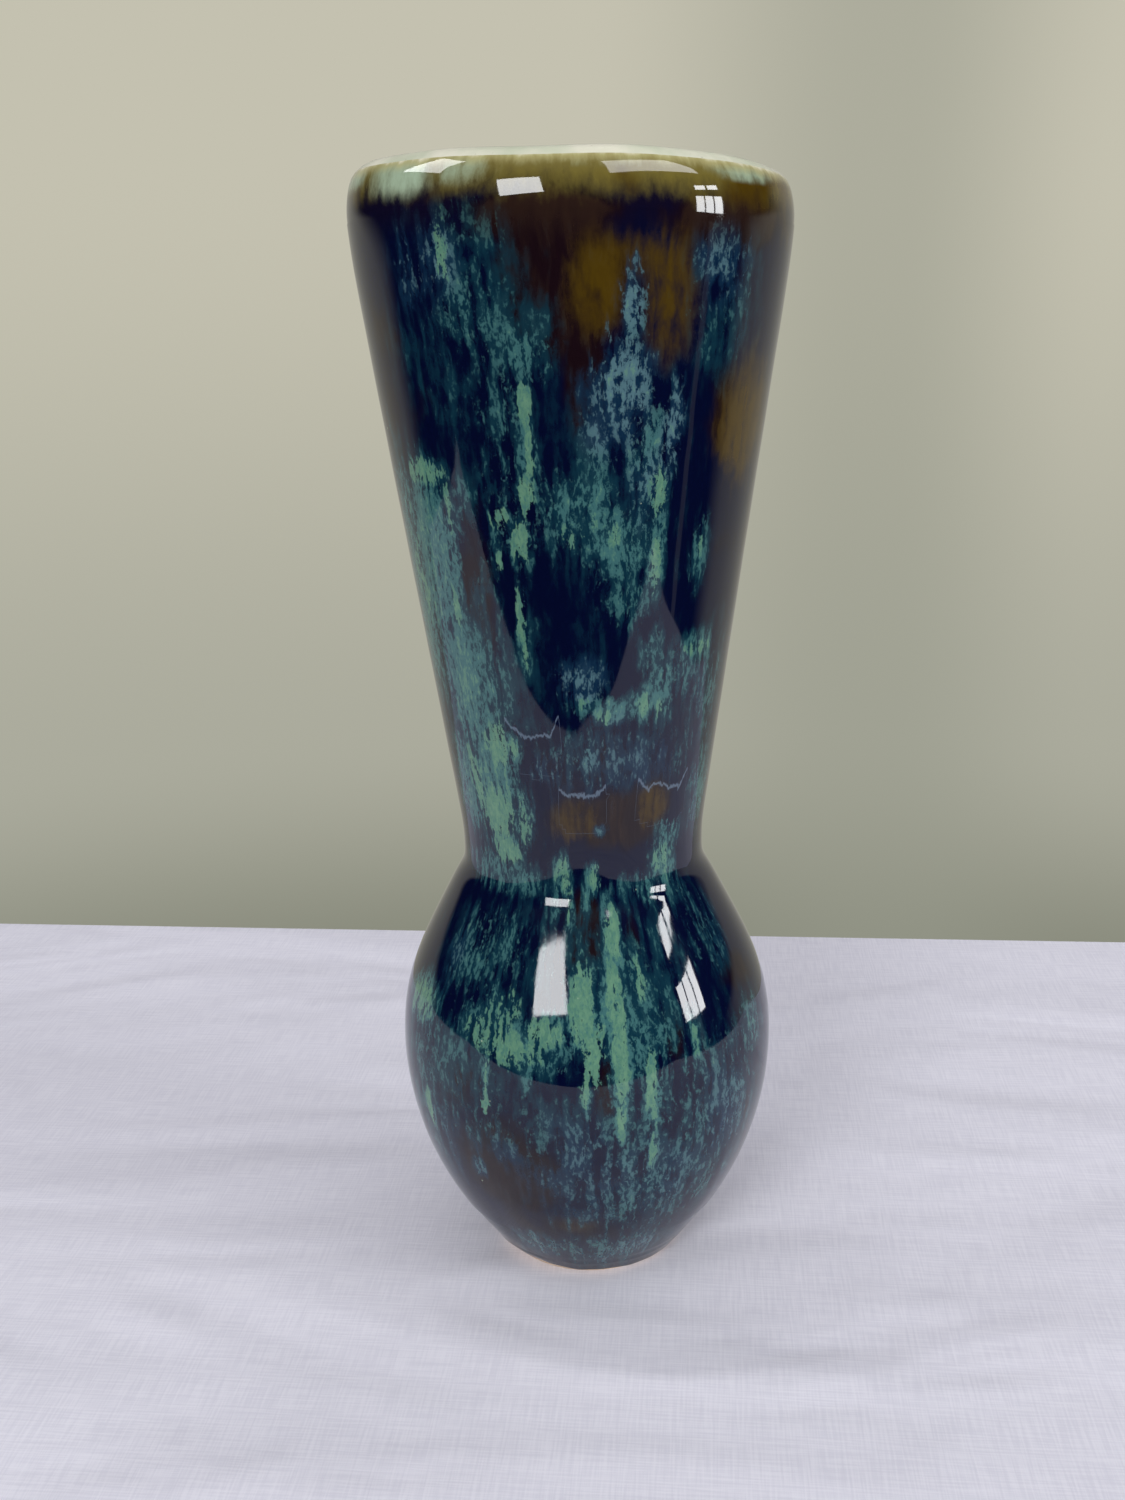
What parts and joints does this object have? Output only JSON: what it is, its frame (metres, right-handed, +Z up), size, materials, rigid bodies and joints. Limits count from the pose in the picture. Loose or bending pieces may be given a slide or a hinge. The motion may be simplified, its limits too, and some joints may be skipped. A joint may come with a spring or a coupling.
{
  "type": "glazed stoneware vase",
  "caption": "Glazed stoneware vase with a round belly, a tight waist and a tall neck opening like a trumpet to a rounded lip.",
  "frame": {"origin": "centre of the foot, on the surface that the vase stands on", "axes": "+Z up along the vase's axis; X and Y lie in the table's plane, and -Y is the side shown first"},
  "size_m": [0.0896, 0.0896, 0.24],
  "materials": {
    "stoneware": "matt bare fired stoneware, fine grained",
    "joining_slip": "matt fired slip of the same clay",
    "dark_base_glaze": "glossy aubergine to navy, breaking ochre where it is thin",
    "flowing_green_blue_glaze": "glossy, run into feathered turquoise and green streaks",
    "cream_lining_glaze": "glossy cream, pale celadon where it pools"
  },
  "bodies": {
    "root": {"clay_belly": "stoneware", "clay_neck": "stoneware", "slip_seam": "joining_slip", "base_glaze": "dark_base_glaze", "run_glaze": "flowing_green_blue_glaze", "lining_glaze": "cream_lining_glaze"}
  },
  "joints": []
}
